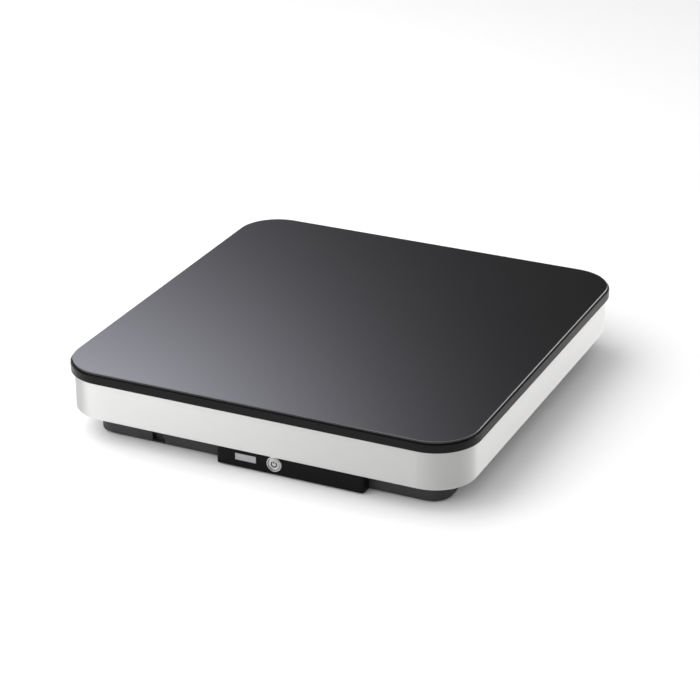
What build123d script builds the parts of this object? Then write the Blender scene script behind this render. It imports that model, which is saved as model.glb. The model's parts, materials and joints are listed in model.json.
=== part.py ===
from build123d import *
import os

# Countertop cordless induction warmer, in millimetres.
# Origin: the centre of the footprint, on the table. +Z is up, the battery pack's face looks along -Y.

# Outline
width = 368.0  # X, across the bezel
depth = 380.0  # Y, across the bezel
bezel_corner = 39.5

# Heights, from the table upwards
foot_gap = 1.5  # rubber that shows below the tray
tray_show = 20.8  # tray below the skirt
skirt_show = 34.8  # steel below the bezel
bezel_side = 7.5
glass_proud = 2.0
glass_thickness = 4.0
seal_thickness = 0.5

# Insets from the bezel's outline
lip_wall = 1.2
glass_inset = 1.5
skirt_inset = 3.3
tray_inset = 24.0
tray_corner = 17.3

# Walls and small clearances
sheet = 1.0
tray_wall = 2.5
tray_floor = 2.5
bezel_web = 1.6
bezel_ledge = 20.0
tongue_wall = 2.0
tongue_drop = 6.0
flange_thickness = 2.5
flange_reach = 13.0  # tray flange, outwards from the tray wall
slip = 0.3  # between pieces that slide or drop in
hem_gap = 1.0
skirt_edge = 1.6  # rounding where the skirt turns into its hem
bezel_wall = skirt_inset - slip

# Levels
tray_bottom = foot_gap
floor_top = tray_bottom + tray_floor
skirt_bottom = tray_bottom + tray_show
hem_top = skirt_bottom + sheet
flange_top = hem_top + flange_thickness
bezel_bottom = skirt_bottom + skirt_show
rim_top = bezel_bottom + bezel_side
glass_top_level = rim_top + glass_proud
glass_bottom = glass_top_level - glass_thickness
ledge_top = glass_bottom - seal_thickness
web_bottom = ledge_top - bezel_web
skirt_top = web_bottom - slip

# Case screws, through the hem and the tray flange into the bezel's bosses
case_screw_inset = 15.5
case_screw_x = 120.0
case_screw_y = 110.0
boss_radius = 4.0

# Tray outline
tray_x = width / 2 - tray_inset
tray_y = depth / 2 - tray_inset
tray_in_x = tray_x - tray_wall
tray_in_y = tray_y - tray_wall

# Feet
foot_radius = 11.0
foot_x = tray_x - 19.0
foot_y = tray_y - 19.0
foot_recess = 1.0
foot_stem = 2.4
foot_head = 4.0

# Charging recess in the tray's front wall
recess_x = -tray_x + 61.2
recess_width = 12.0
recess_depth = 5.0
recess_lip = 1.0
recess_wall = 2.5
contact_width = 2.5
contact_proud = 0.6
contact_pitch = 6.0

# Battery pack and its bay
pack_left = -39.1  # pack face
pack_right = 94.1
pack_face_depth = 10.5
pack_face_drop = 0.5  # pack face's top, below the hem
pack_side_gap = 4.5  # pack body, inwards from the face's ends
pack_length = 166.0
pack_shell = 1.3
pack_wall = 1.6
bay_gap = 2.5  # pack body to bay wall
bay_wall = 1.5
bay_headroom = 0.7
slot_margin = 1.0
slot_head = 0.4
pack_corner = 3.0

face_front = -tray_y - pack_face_depth
face_back = -tray_y - slip
face_screw_end = face_front + 3.0
face_top = skirt_bottom - pack_face_drop
body_left = pack_left + pack_side_gap
body_right = pack_right - pack_side_gap
body_back = face_back + pack_length + slip
body_bottom = floor_top + slip
slot_top = skirt_bottom - slot_head
body_top = slot_top - slot_head
bay_left = body_left - bay_gap
bay_right = body_right + bay_gap
bay_back = body_back + 4.5
bay_roof = body_top + bay_headroom
pack_middle = (pack_left + pack_right) / 2
pack_split = (body_bottom + body_top) / 2

# Power button, on the pack's face
button_x = 14.7
button_z = 11.6
ring_radius = 6.7
ring_proud = 1.8
barrel_radius = 6.0
barrel_wall = 0.5
bore_radius = barrel_radius - barrel_wall
cap_radius = bore_radius - slip
nut_radius = 7.0
barrel_length = pack_face_depth - 3.5
face_wall = 2.5
cap_length = 3.2
cap_recess = 0.2
stem_radius = 2.2
button_travel = 0.8
stem_gap = 1.0

# Blank badge, beside the button
badge_x = -11.9
badge_width = 19.0
badge_height = 6.0
badge_thickness = 0.4

# Coil stack, under the glass
post_x = tray_in_x - 29.5
post_y = tray_in_y - 35.5
post_radius = 5.0
plate_margin = 8.0  # plate's edge, outwards from the post's middle
plate_level = glass_bottom - 13.6
plate_thickness = 1.5
carrier_height = 5.5
hub_radius = 12.0
ferrite_count = 8
ferrite_start = 30.0
ferrite_length = 62.0
ferrite_width = 11.0
ferrite_height = 4.3
coil_height = 4.4
coil_strand = 2.6
coil_pitch = 3.6
inner_coil_start = 24.0
inner_coil_turns = 9
outer_coil_turns = 11
coil_space = 7.6  # between the two windings
mica = 0.6

carrier_level = plate_level + plate_thickness
coil_level = carrier_level + carrier_height
mica_level = coil_level + coil_height
inner_coil_x = inner_coil_start
outer_coil_start = inner_coil_start + inner_coil_turns * coil_pitch + coil_space
outer_coil_x = outer_coil_start + outer_coil_turns * coil_pitch
carrier_radius = outer_coil_x + 4.4
plate_x = post_x + plate_margin
plate_y = post_y + plate_margin

# Circuit boards
board_thickness = 1.6
board_level = floor_top + 6.0
board_top = board_level + board_thickness
board_margin = 6.0
board_gap = 7.5  # board edge to tray wall
power_left = -tray_in_x + board_gap
power_front = bay_back + 18.0
power_back = power_front + 88.0
control_left = power_left
control_right = control_left + 90.0
control_front = -tray_in_y + 43.5
control_back = control_front + 80.0

# Cooling fan
fan_x = tray_in_x - 57.5
fan_y = power_front + 67.5
fan_size = 60.0
power_right = fan_x - fan_size / 2 - 30.0
fan_height = 15.0
fan_bore = 28.5
fan_hole = 25.0
fan_floor = 1.5
shaft_radius = 1.5
bearing_gap = 0.05
bearing_radius = 3.5
rotor_radius = 12.0
rotor_wall = 1.5
blade_tip = 27.5
blade_count = 7

# Leads, terminals and small parts
coil_lead = 4.0
terminal_height = 10.0
terminal_y = 8.0
coil_terminal_x = power_right - 87.0
dc_x = 12.0
ribbon_x = control_left + 45.0
fan_plug_x = power_right - 8.0
sensor_plug_x = control_right - 24.0
sensor_plug_y = control_back - 10.0
sink_left = power_right - 98.0
sink_right = power_right - 12.0
sink_y = 52.0
sink_base = 4.0
sink_depth = 28.0
sink_height = 31.0
control_layout = [  # x and y from the board's corner, size along X and Y, height
    (20.0, 30.0, 14.0, 14.0, 1.6),
    (42.0, 34.0, 9.0, 6.0, 1.8),
    (60.0, 20.0, 12.0, 12.0, 9.0),
    (14.0, 54.0, 18.0, 8.0, 10.0),
    (60.0, 46.0, 10.0, 10.0, 3.0),
]

# Battery bay and pack details
bay_ear = 2.0
connector_half = 14.0
connector_low = 9.0
connector_high = 18.0
connector_flange = 2.0
blade_length = 7.0
bms_level = 9.0
bms_front = body_back - 38.0
cell_gap = 0.6
cell_channel = 6.0
cell_side = 1.4  # to the pack's wall
cell_headroom = 0.5
cell_width = (body_right - body_left - 2 * (pack_wall + cell_side) - cell_channel) / 2
cell_height = (body_top - body_bottom - 2 * pack_shell - cell_gap - cell_headroom) / 2
cell_front = face_back + 16.3
cell_length = bms_front - 6.0 - cell_front
badge_low = 8.0
switch_depth = 2.7


def block(x0, x1, y0, y1, z0, z1):
    """A box between two corners."""
    return Pos((x0 + x1) / 2, (y0 + y1) / 2, (z0 + z1) / 2) * Box(x1 - x0, y1 - y0, z1 - z0)


def post(x, y, z0, z1, radius):
    """An upright cylinder."""
    return Pos(x, y, (z0 + z1) / 2) * Cylinder(radius, z1 - z0)


def rod(x, z, y0, y1, radius):
    """A cylinder along Y."""
    return Pos(x, (y0 + y1) / 2, z) * Rot(90, 0, 0) * Cylinder(radius, y1 - y0)


def cross_rod(y, z, x0, x1, radius):
    """A cylinder along X."""
    return Pos((x0 + x1) / 2, y, z) * Rot(0, 90, 0) * Cylinder(radius, x1 - x0)


def slab(inset, z0, z1, corner=None):
    """A rounded plate, inset from the bezel's outline."""
    radius = bezel_corner - inset if corner is None else corner
    outline = RectangleRounded(width - 2 * inset, depth - 2 * inset, radius)
    return extrude(Plane.XY.offset(z0) * outline, z1 - z0)


def group(pieces):
    """Separate solids that share one node."""
    return Compound([solid for piece in pieces for solid in piece.solids()])


def mirrored(x, y):
    """The four places at plus and minus x and y."""
    return [(sx * x, sy * y) for sx in (-1, 1) for sy in (-1, 1)]


def case_screw_places():
    side_x = width / 2 - case_screw_inset
    side_y = depth / 2 - case_screw_inset
    return mirrored(case_screw_x, side_y) + mirrored(side_x, case_screw_y)


def board_corners(left, right, front, back):
    return [
        (x, y)
        for x in (left + board_margin, right - board_margin)
        for y in (front + board_margin, back - board_margin)
    ]


def power_corners():
    return board_corners(power_left, power_right, power_front, power_back)


def control_corners():
    return board_corners(control_left, control_right, control_front, control_back)


def bay_ears():
    """Screw places of the bay's four ears."""
    sides = (bay_left - 7.0, bay_right + 7.0)
    return [(x, y) for x in sides for y in (-tray_in_y + 20.0, bay_back - 20.0)]


def fan_corners():
    return [(fan_x + sx * fan_hole, fan_y + sy * fan_hole) for sx in (-1, 1) for sy in (-1, 1)]


def screw_down(x, y, seat, length, shank=1.4, head=2.8, head_height=1.8):
    """A pan-head screw that goes down from its seat, with a cross recess."""
    body = post(x, y, seat - length, seat, shank) + post(x, y, seat, seat + head_height, head)
    slot = head * 0.55
    top = seat + head_height
    body -= block(x - slot, x + slot, y - 0.35, y + 0.35, top - 0.9, top)
    body -= block(x - 0.35, x + 0.35, y - slot, y + slot, top - 0.9, top)
    return body


def screw_up(x, y, seat, length, shank, head, head_height):
    """A pan-head screw that goes up from its seat, with a cross recess."""
    body = post(x, y, seat, seat + length, shank) + post(x, y, seat - head_height, seat, head)
    slot = head * 0.55
    low = seat - head_height
    body -= block(x - slot, x + slot, y - 0.4, y + 0.4, low, low + 0.9)
    body -= block(x - 0.4, x + 0.4, y - slot, y + slot, low, low + 0.9)
    return body


def lead(points, radii, thickness):
    """A round lead along straight runs joined by tangent arcs."""
    path = FilletPolyline(*points, radius=radii)
    start = Plane(origin=path @ 0, z_dir=path % 0)
    return sweep(start * Circle(thickness / 2), path=path)


# Case


def glass_top():
    plate = slab(glass_inset, glass_bottom, glass_top_level)
    return chamfer(plate.edges().group_by(Axis.Z)[-1], 0.6)


def glass_seal():
    return slab(4.0, ledge_top, glass_bottom) - slab(12.0, ledge_top, glass_bottom)


def top_bezel():
    outer = slab(0, bezel_bottom, rim_top)
    outer = fillet(outer.edges().group_by(Axis.Z)[-1], 0.8)
    ring = outer - slab(lip_wall, ledge_top, rim_top + 1)
    ring -= slab(bezel_wall, bezel_bottom - 1, web_bottom)
    ring -= slab(bezel_ledge, bezel_bottom, rim_top, bezel_corner - bezel_ledge)
    tongue_out = skirt_inset + sheet + slip
    tongue = slab(tongue_out, bezel_bottom - tongue_drop, web_bottom)
    tongue -= slab(tongue_out + tongue_wall, bezel_bottom - tongue_drop, web_bottom)
    ring += tongue
    ring += [post(x, y, flange_top, web_bottom, boss_radius) for x, y in case_screw_places()]
    ring -= [post(x, y, flange_top - 1, flange_top + 16, 1.8) for x, y in case_screw_places()]
    return ring


def steel_skirt():
    shell = slab(skirt_inset, skirt_bottom, skirt_top)
    shell = fillet(shell.edges().group_by(Axis.Z)[0], skirt_edge)
    shell -= slab(skirt_inset + sheet, hem_top, skirt_top + 1)
    shell -= slab(tray_inset - hem_gap, skirt_bottom - 1, hem_top + 1, tray_corner + hem_gap)
    shell -= [post(x, y, skirt_bottom - 1, hem_top + 1, 2.0) for x, y in case_screw_places()]
    return shell


def case_screws():
    return group(
        [screw_up(x, y, skirt_bottom, 14.0, 1.7, 3.4, 2.0) for x, y in case_screw_places()]
    )


def charging_recess():
    """Walls of the recess, and the space inside it."""
    half = recess_width / 2
    inner = -tray_y + recess_depth
    wall = recess_wall
    left = recess_x - half
    right = recess_x + half
    walls = block(left - wall, right + wall, -tray_y + 1, inner + wall, tray_bottom + 1, hem_top)
    space = block(left, right, -tray_y - 1, inner, tray_bottom + recess_lip, skirt_bottom)
    return walls, space


def contact_places():
    return [recess_x - contact_pitch / 2, recess_x + contact_pitch / 2]


def inlet_grille():
    """Slots through the floor below the fan, cut short at the fan's bore."""
    slots = []
    for step in range(-3, 4):
        offset = step * 7.0
        half = (24.0**2 - offset**2) ** 0.5
        middle = fan_x + offset
        slots.append(block(middle - 1.6, middle + 1.6, fan_y - half, fan_y + half, 0, floor_top))
    return slots


def outlet_slots():
    """Upright slots through the tray's rear wall."""
    return [
        block(x - 1.6, x + 1.6, tray_in_y - 1, tray_y + 1, floor_top + 4, skirt_bottom - 3)
        for x in [power_left + 24 + 7.5 * step for step in range(18)]
    ]


def base_tray():
    body = extrude(
        Plane.XY.offset(tray_bottom) * RectangleRounded(2 * tray_x, 2 * tray_y, tray_corner),
        flange_top - tray_bottom,
    )
    body = fillet(body.edges().group_by(Axis.Z)[0], 1.0)
    flange_corner = tray_corner + flange_reach
    flange_x = tray_x + flange_reach
    flange_y = tray_y + flange_reach
    body += extrude(
        Plane.XY.offset(hem_top) * RectangleRounded(2 * flange_x, 2 * flange_y, flange_corner),
        flange_thickness,
    )
    inner_corner = tray_corner - tray_wall
    body -= extrude(
        Plane.XY.offset(floor_top) * RectangleRounded(2 * tray_in_x, 2 * tray_in_y, inner_corner),
        flange_top,
    )
    recess_walls, recess_space = charging_recess()
    body += recess_walls
    body += [post(x, y, floor_top - 1, plate_level, post_radius) for x, y in mirrored(post_x, post_y)]
    stands = power_corners() + control_corners()
    body += [post(x, y, floor_top - 1, board_level, 3.5) for x, y in stands]
    body += [post(x, y, floor_top - 1, floor_top + 3, 4.0) for x, y in bay_ears()]
    body -= recess_space
    body -= [post(x, y, plate_level - 15, plate_level + 1, 1.8) for x, y in mirrored(post_x, post_y)]
    body -= [post(x, y, tray_bottom + 1, board_level + 1, 1.5) for x, y in stands]
    body -= [post(x, y, tray_bottom + 1, floor_top + 4, 1.5) for x, y in bay_ears()]
    body -= [post(x, y, tray_bottom + 1, floor_top + 1, 1.5) for x, y in fan_corners()]
    body -= [post(x, y, hem_top - 1, flange_top + 1, 2.0) for x, y in case_screw_places()]
    for x, y in mirrored(foot_x, foot_y):
        body -= post(x, y, 0, tray_bottom + foot_recess, foot_radius + 0.2)
        body -= post(x, y, 0, floor_top + 1, foot_stem + 0.1)
    slot_left = body_left - slot_margin
    slot_right = body_right + slot_margin
    body -= block(slot_left, slot_right, -tray_y - 1, -tray_in_y + 0.5, floor_top, slot_top)
    half = contact_width / 2
    for x in contact_places():
        body -= block(x - half, x + half, -tray_y, -tray_y + 9, floor_top + 3, floor_top + 5)
    body -= inlet_grille()
    body -= outlet_slots()
    return body


def foot(x, y):
    pad_top = tray_bottom + foot_recess
    pad = post(x, y, 0, pad_top, foot_radius)
    pad = fillet(pad.edges().group_by(Axis.Z)[0], 0.5)
    pad += post(x, y, pad_top, floor_top, foot_stem)
    pad += post(x, y, floor_top, floor_top + 1.6, foot_head)
    return pad


def charge_contacts():
    inner = -tray_y + recess_depth
    strips = []
    for x in contact_places():
        half = contact_width / 2
        face = block(x - half, x + half, inner - contact_proud, inner, tray_bottom + 3, skirt_bottom - 3)
        tail = block(x - half, x + half, inner, inner + 4.5, floor_top + 3, floor_top + 5)
        strips.append(face + tail)
    return group(strips)


# Coil stack


def coil_plate():
    plate = extrude(
        Plane.XY.offset(plate_level) * RectangleRounded(2 * plate_x, 2 * plate_y, 18),
        plate_thickness,
    )
    plate -= [post(x, y, plate_level - 1, carrier_level + 1, 2.0) for x, y in mirrored(post_x, post_y)]
    plate -= post(0, 0, plate_level - 1, carrier_level + 1, 4.0)
    plate -= post(inner_coil_x, 0, plate_level - 1, carrier_level + 1, 3.0)
    plate -= post(outer_coil_x, 0, plate_level - 1, carrier_level + 1, 3.0)
    plate -= [post(x, 0, plate_level - 1, carrier_level + 1, 6.0) for x in (14 - plate_x, plate_x - 14)]
    plate -= [post(0, y, plate_level - 1, carrier_level + 1, 6.0) for y in (14 - plate_y, plate_y - 14)]
    return plate


def coil_plate_screws():
    places = mirrored(post_x, post_y)
    return group([screw_down(x, y, carrier_level, 13.0, 1.7, 3.4, 2.0) for x, y in places])


def ferrite_angles():
    return [(index + 0.5) * 360 / ferrite_count for index in range(ferrite_count)]


def ferrite_bar(angle, extra, height):
    start = ferrite_start - extra
    end = ferrite_start + ferrite_length + extra
    half = ferrite_width / 2 + extra
    return Rot(0, 0, angle) * block(start, end, -half, half, carrier_level, carrier_level + height)


def coil_carrier():
    disc = post(0, 0, carrier_level, coil_level, carrier_radius)
    disc -= post(0, 0, carrier_level, coil_level, hub_radius)
    disc -= [ferrite_bar(angle, slip, ferrite_height + slip) for angle in ferrite_angles()]
    disc -= post(inner_coil_x, 0, carrier_level, coil_level, 2.3)
    disc -= post(outer_coil_x, 0, carrier_level, coil_level, 2.3)
    return disc


def ferrite_bars():
    return group([ferrite_bar(angle, 0, ferrite_height) for angle in ferrite_angles()])


def half_turn(centre, radius, lower):
    """Half a turn of the winding, above or below the X axis, from one side to the other."""
    side = -1 if lower else 1
    return ThreePointArc((centre + side * radius, 0), (centre, side * radius), (centre - side * radius, 0))


def winding(start, turns):
    """A flat spiral of tangent half turns about two centres, half a pitch apart."""
    outer = []
    inner = []
    for step in range(2 * turns):
        lower = step % 2 == 1
        centre = coil_pitch / 2 if lower else 0
        radius = start + step * coil_pitch / 2
        outer.append(half_turn(centre, radius + coil_strand / 2, lower))
        inner.append(half_turn(centre, radius - coil_strand / 2, lower))
    first = Line(inner[0] @ 0, outer[0] @ 0)
    last = Line(outer[-1] @ 1, inner[-1] @ 1)
    face = make_face(outer + inner + [first, last])
    return extrude(Plane.XY.offset(coil_level) * face, coil_height)


def coil_inner():
    return winding(inner_coil_start, inner_coil_turns)


def coil_outer():
    return winding(outer_coil_start, outer_coil_turns)


def insulation_disc():
    return post(0, 0, mica_level, mica_level + mica, carrier_radius) - post(
        0, 0, mica_level, mica_level + mica, hub_radius
    )


def sensor_holder():
    cup = post(0, 0, carrier_level, mica_level, hub_radius - slip)
    cup -= post(0, 0, carrier_level + 1.5, mica_level, 6.5)
    cup -= post(0, 0, carrier_level, carrier_level + 1.5, 1.3)
    return cup


def glass_sensor():
    disc = post(0, 0, glass_bottom - 3, glass_bottom, 6.0)
    return fillet(disc.edges().group_by(Axis.Z)[0], 0.6)


def sensor_spring():
    height = glass_bottom - 3 - (carrier_level + 1.5)
    wire = 0.8
    path = Helix(pitch=2.0, height=height - wire, radius=4.5)
    start = Plane(origin=path @ 0, z_dir=path % 0)
    return Pos(0, 0, carrier_level + 1.5 + wire / 2) * sweep(start * Circle(wire / 2), path=path)


def terminal_top():
    return board_top + terminal_height


def coil_leads():
    """Two leads, from the windings' free ends down to the power board's terminals."""
    end_y = power_front + terminal_y
    bend = 8.0
    low = plate_level - 11.0
    high = plate_level - 5.0
    routes = [(outer_coil_x, coil_terminal_x + 4.5, low), (inner_coil_x, coil_terminal_x - 4.5, high)]
    leads = []
    for start_x, end_x, level in routes:
        points = [
            (start_x, 0, coil_level),
            (start_x, 0, level),
            (end_x, end_y - 10.5, level),
            (end_x, end_y, level),
            (end_x, end_y, terminal_top()),
        ]
        leads.append(lead(points, [5.0, bend, 5.0], coil_lead))
    return group(leads)


# Electronics


def board(left, right, front, back, corners):
    plate = block(left, right, front, back, board_level, board_top)
    plate = fillet(plate.edges().filter_by(Axis.Z), 2.0)
    return plate - [post(x, y, board_level - 1, board_top + 1, 1.6) for x, y in corners]


def power_board():
    return board(power_left, power_right, power_front, power_back, power_corners())


def control_board():
    return board(control_left, control_right, control_front, control_back, control_corners())


def inner_screws():
    screws = [screw_down(x, y, board_top, 8.5) for x, y in power_corners() + control_corners()]
    screws += [screw_down(x, y, floor_top + 3 + bay_ear, 5.5) for x, y in bay_ears()]
    screws += [screw_down(x, y, floor_top + fan_height, fan_height + 1.0) for x, y in fan_corners()]
    return group(screws)


def heatsink():
    """A vertical base with fins that run along X, in the fan's air."""
    front = power_front + sink_y
    wall = block(sink_left, sink_right, front, front + sink_base, board_top, board_top + sink_height)
    fins = [
        block(sink_left, sink_right, front + sink_base - 0.5, front + sink_depth, z, z + 1.6)
        for z in [board_top + 2 + 5.0 * step for step in range(6)]
    ]
    return wall + fins


def power_transistors():
    front = power_front + sink_y
    parts = []
    for step in range(4):
        x = sink_left + 14 + 20.0 * step
        body = block(x - 8, x + 8, front - 5, front, board_top + 9, board_top + 29)
        body = chamfer(body.edges().group_by(Axis.Y)[0].filter_by(Axis.Z), 1.0)
        body -= rod(x, board_top + 25, front - 5, front, 1.8)
        legs = [
            block(x + k * 5.4 - 0.6, x + k * 5.4 + 0.6, front - 3, front - 2.4, board_top, board_top + 9.5)
            for k in (-1, 0, 1)
        ]
        parts.append(body + legs)
    return group(parts)


def bus_capacitors():
    cans = []
    for step in range(3):
        x = power_left + 26 + 20.0 * step
        can = post(x, power_back - 16, board_top, board_top + 26, 9.0)
        can = fillet(can.edges().group_by(Axis.Z)[-1], 1.0)
        cans.append(can)
    return group(cans)


def resonant_capacitors():
    boxes = []
    for step in range(2):
        x = power_left + 30 + 38.0 * step
        box = block(x - 16, x + 16, power_front + 16, power_front + 32, board_top, board_top + 25)
        boxes.append(fillet(box.edges().group_by(Axis.Z)[-1], 1.0))
    return group(boxes)


def filter_choke():
    x = power_right - 24
    y = power_front + 30
    ring = post(x, y, board_top, board_top + 13, 15.0)
    ring = fillet(ring.edges().group_by(Axis.Z)[-1], 3.0)
    return ring - post(x, y, board_top, board_top + 13, 6.5)


def terminal(x, y, half):
    base = block(x - half, x + half, y - 5, y + 5, board_top, terminal_top())
    return chamfer(base.edges().group_by(Axis.Z)[-1], 0.6)


def board_terminals():
    blocks = [terminal(coil_terminal_x, power_front + terminal_y, 10.0)]
    blocks.append(terminal(dc_x, power_front + terminal_y - 2, 12.0))
    blocks.append(terminal(ribbon_x, power_front + terminal_y - 2, 9.0))
    blocks.append(terminal(ribbon_x, control_back - 7, 9.0))
    blocks.append(terminal(fan_plug_x, fan_y, 4.0))
    blocks.append(terminal(sensor_plug_x, sensor_plug_y, 4.0))
    blocks.append(terminal(recess_x, control_front + 7, 7.0))
    return group(blocks)


def dc_leads():
    start = bay_back + connector_flange
    end = power_front + terminal_y - 7
    level = board_top + 5
    return group([rod(x, level, start, end, 1.8) for x in (dc_x - 6, dc_x + 6)])


def signal_leads():
    """The fan's, the glass sensor's and the charge contacts' leads."""
    level = board_top + 5
    leads = [cross_rod(fan_y, level, fan_plug_x + 4, fan_x - fan_size / 2, 1.2)]
    contact_back = -tray_y + recess_depth + 4.5
    leads += [rod(x, floor_top + 4, contact_back, control_front + 2, 0.9) for x in contact_places()]
    high = plate_level - 1.5
    points = [
        (0, 0, carrier_level + 1.5),
        (0, 0, high),
        (sensor_plug_x, sensor_plug_y, high),
        (sensor_plug_x, sensor_plug_y, terminal_top()),
    ]
    leads.append(lead(points, [4.0, 6.0], 2.0))
    return group(leads)


def link_ribbon():
    level = board_top + 4
    back = power_front + terminal_y - 7
    return block(ribbon_x - 7, ribbon_x + 7, control_back - 2, back, level, level + 0.8)


def control_chips():
    chips = []
    for along, up, size_x, size_y, height in control_layout:
        x = control_left + along
        y = control_front + up
        chips.append(block(x, x + size_x, y, y + size_y, board_top, board_top + height))
    return group(chips)


# Cooling fan


def fan_housing():
    low = floor_top
    high = floor_top + fan_height
    half = fan_size / 2
    frame = block(fan_x - half, fan_x + half, fan_y - half, fan_y + half, low, high)
    frame = fillet(frame.edges().filter_by(Axis.Z), 3.0)
    frame -= post(fan_x, fan_y, low, high, fan_bore)
    frame += post(fan_x, fan_y, low, low + fan_floor, rotor_radius)
    for angle in (30, 150, 270):
        strut = block(rotor_radius - 1, fan_bore + 0.5, -1.5, 1.5, low, low + fan_floor)
        frame += Pos(fan_x, fan_y, 0) * Rot(0, 0, angle) * strut
    frame += post(fan_x, fan_y, low, high - 5, bearing_radius)
    frame -= post(fan_x, fan_y, low + fan_floor, high, shaft_radius + bearing_gap)
    frame -= [post(x, y, low, high, 1.6) for x, y in fan_corners()]
    return frame


def fan_stator():
    """Four wound poles round the bearing tube."""
    low = floor_top + fan_floor + 1.5
    high = low + 5.0
    ring = post(fan_x, fan_y, low, high, bearing_radius + 2)
    for step in range(4):
        arm = block(bearing_radius + 1, 9.0, -1.5, 1.5, low, high)
        shoe = block(7.6, 9.0, -4.0, 4.0, low, high)
        ring += Pos(fan_x, fan_y, 0) * Rot(0, 0, 90 * step) * (arm + shoe)
    return ring - post(fan_x, fan_y, low, high, bearing_radius)


def fan_rotor():
    """A cup with its blades."""
    low = floor_top + fan_floor + 1.0
    high = floor_top + fan_height - 1.0
    cup = post(fan_x, fan_y, low, high, rotor_radius)
    cup = fillet(cup.edges().group_by(Axis.Z)[-1], 1.0)
    cup -= post(fan_x, fan_y, low, high - rotor_wall, rotor_radius - rotor_wall)
    for step in range(blade_count):
        blade = Pos(0, 0, (low + high) / 2) * Rot(35, 0, 0) * Box(
            blade_tip - rotor_radius + 1, 13.0, 1.4
        )
        blade = Pos((blade_tip + rotor_radius - 1) / 2, 0, 0) * blade
        cup += Pos(fan_x, fan_y, 0) * Rot(0, 0, 360 / blade_count * step) * blade
    cup &= post(fan_x, fan_y, low, high, blade_tip)
    hollow = post(fan_x, fan_y, low, high - rotor_wall, rotor_radius - rotor_wall)
    cup -= hollow
    return cup - post(fan_x, fan_y, low, high, shaft_radius)


def fan_shaft():
    return post(fan_x, fan_y, floor_top + fan_floor + 0.2, floor_top + fan_height - 1.0, shaft_radius)


# Battery bay


def battery_bay():
    """A cover over the pack: two sides, a roof and a back, on four screwed ears."""
    front = -tray_in_y + slip
    out_left = bay_left - bay_wall
    out_right = bay_right + bay_wall
    cover = block(out_left, out_right, front, bay_back, floor_top, bay_roof + bay_wall)
    cover -= block(bay_left, bay_right, front, bay_back - bay_wall, floor_top, bay_roof)
    for x, y in bay_ears():
        inner = out_left + 0.5 if x < pack_middle else out_right - 0.5
        low_x, high_x = sorted((inner, x + (4 if x > pack_middle else -4)))
        ear = block(low_x, high_x, y - 5, y + 5, floor_top + 3, floor_top + 3 + bay_ear)
        cover += ear
        cover -= post(x, y, floor_top, floor_top + 3 + bay_ear, 1.6)
    left = dc_x - connector_half
    right = dc_x + connector_half
    cover -= block(left, right, bay_back - 3, bay_back + 1, connector_low, connector_high)
    return cover


def bay_springs():
    """Bowed strips at both sides of the bay that steady the pack."""
    strips = []
    for wall, side in ((bay_left, 1), (bay_right, -1)):
        reach = wall + side * (bay_gap - slip)
        for y in (-tray_in_y + 43.5, bay_back - 64.5):
            bow = ThreePointArc((wall, y - 15), (reach, y), (wall, y + 15))
            back = ThreePointArc(
                (wall, y + 14), (reach - side * 0.5, y), (wall, y - 14)
            )
            ends = [Line(bow @ 1, back @ 0), Line(back @ 1, bow @ 0)]
            face = make_face([bow, back] + ends)
            strips.append(extrude(Plane.XY.offset(pack_split - 4) * face, 8))
    return group(strips)


def blade_places():
    return [dc_x - 9, dc_x - 3, dc_x + 3, dc_x + 9]


def bay_connector():
    inner = body_back + 1.0
    plug = block(
        dc_x - connector_half + slip,
        dc_x + connector_half - slip,
        inner,
        bay_back + connector_flange,
        connector_low + slip,
        connector_high - slip,
    )
    plug += block(
        dc_x - connector_half - 4,
        dc_x + connector_half + 4,
        bay_back,
        bay_back + connector_flange,
        connector_low - 2,
        connector_high + 1,
    )
    middle = (connector_low + connector_high) / 2
    for x in blade_places():
        plug += block(x - 0.4, x + 0.4, inner - blade_length, inner + 0.5, middle - 2.5, middle + 2.5)
    return plug


# Battery pack


def pack_outline(z0, z1, inset):
    """The pack body's rounded block, between two levels."""
    outline = RectangleRounded(
        body_right - body_left - 2 * inset, body_back - face_back - 2 * inset, max(pack_corner - inset, 0.5)
    )
    return extrude(Plane.XY.offset(z0) * Pos(pack_middle, (body_back + face_back) / 2) * outline, z1 - z0)


def pack_screw_places():
    near = pack_wall + 2.4
    sides = (body_left + near, body_right - near)
    return [(x, y) for x in sides for y in (face_back + near, body_back - near)]


def pack_openings():
    """Holes that both shells share: the button's lead, the face's screws and the connector."""
    cuts = [rod(button_x, button_z, face_back - 1, face_back + pack_wall + 1, 3.0)]
    cuts += [rod(x, pack_split, face_back - 1, face_back + pack_wall + 1, 1.4) for x in face_screw_places()]
    cuts.append(
        block(
            dc_x - connector_half,
            dc_x + connector_half,
            body_back - pack_wall - 1,
            body_back + 1,
            connector_low,
            connector_high,
        )
    )
    return cuts


def pack_lower_shell():
    shell = pack_outline(body_bottom, pack_split, 0)
    shell -= pack_outline(body_bottom + pack_shell, pack_split, pack_wall)
    shell += [post(x, y, body_bottom, pack_split, 3.0) for x, y in pack_screw_places()]
    shell += [post(x, y, body_bottom, bms_level, 2.5) for x, y in bms_corners()]
    shell -= [post(x, y, body_bottom, body_bottom + 1.2, 2.5) for x, y in pack_screw_places()]
    shell -= [post(x, y, body_bottom, pack_split, 1.4) for x, y in pack_screw_places()]
    return shell - pack_openings()


def pack_upper_shell():
    shell = pack_outline(pack_split, body_top, 0)
    shell -= pack_outline(pack_split, body_top - pack_shell, pack_wall)
    shell += [post(x, y, pack_split, body_top, 3.0) for x, y in pack_screw_places()]
    shell -= [post(x, y, pack_split, body_top - 1.5, 1.4) for x, y in pack_screw_places()]
    return shell - pack_openings()


def face_screw_places():
    return [badge_x, pack_right - 24.0]


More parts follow.
